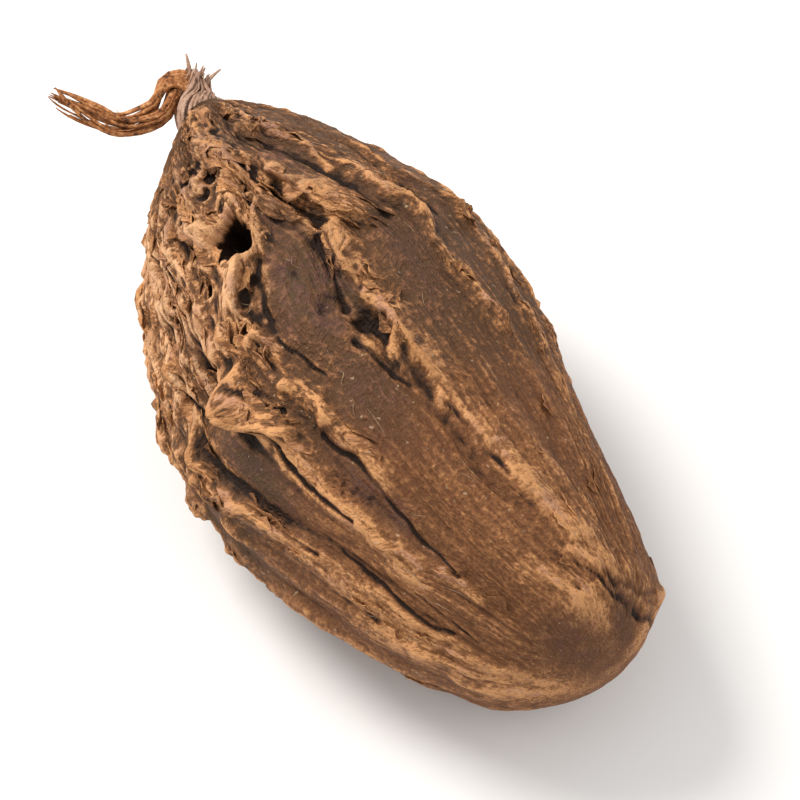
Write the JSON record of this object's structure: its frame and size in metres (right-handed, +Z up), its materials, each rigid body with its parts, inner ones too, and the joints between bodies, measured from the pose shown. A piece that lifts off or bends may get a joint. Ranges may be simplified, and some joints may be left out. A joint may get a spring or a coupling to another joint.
{
  "type": "black cardamom pod",
  "caption": "Dried black cardamom pod with a wrinkled, ridged husk and a torn fibrous calyx, lying on its side.",
  "frame": {"origin": "middle of the small flat spot under the belly that the pod rests on", "axes": "+X along the pod towards its stalk end, +Z up, away from the surface that it lies on"},
  "size_m": [0.0374, 0.0183, 0.0154],
  "materials": {
    "husk": "dry wrinkled husk, tan crests over dark brown faces",
    "calyx": "dry torn fibres"
  },
  "bodies": {
    "root": {"husk": "husk", "calyx": "calyx"}
  },
  "joints": []
}
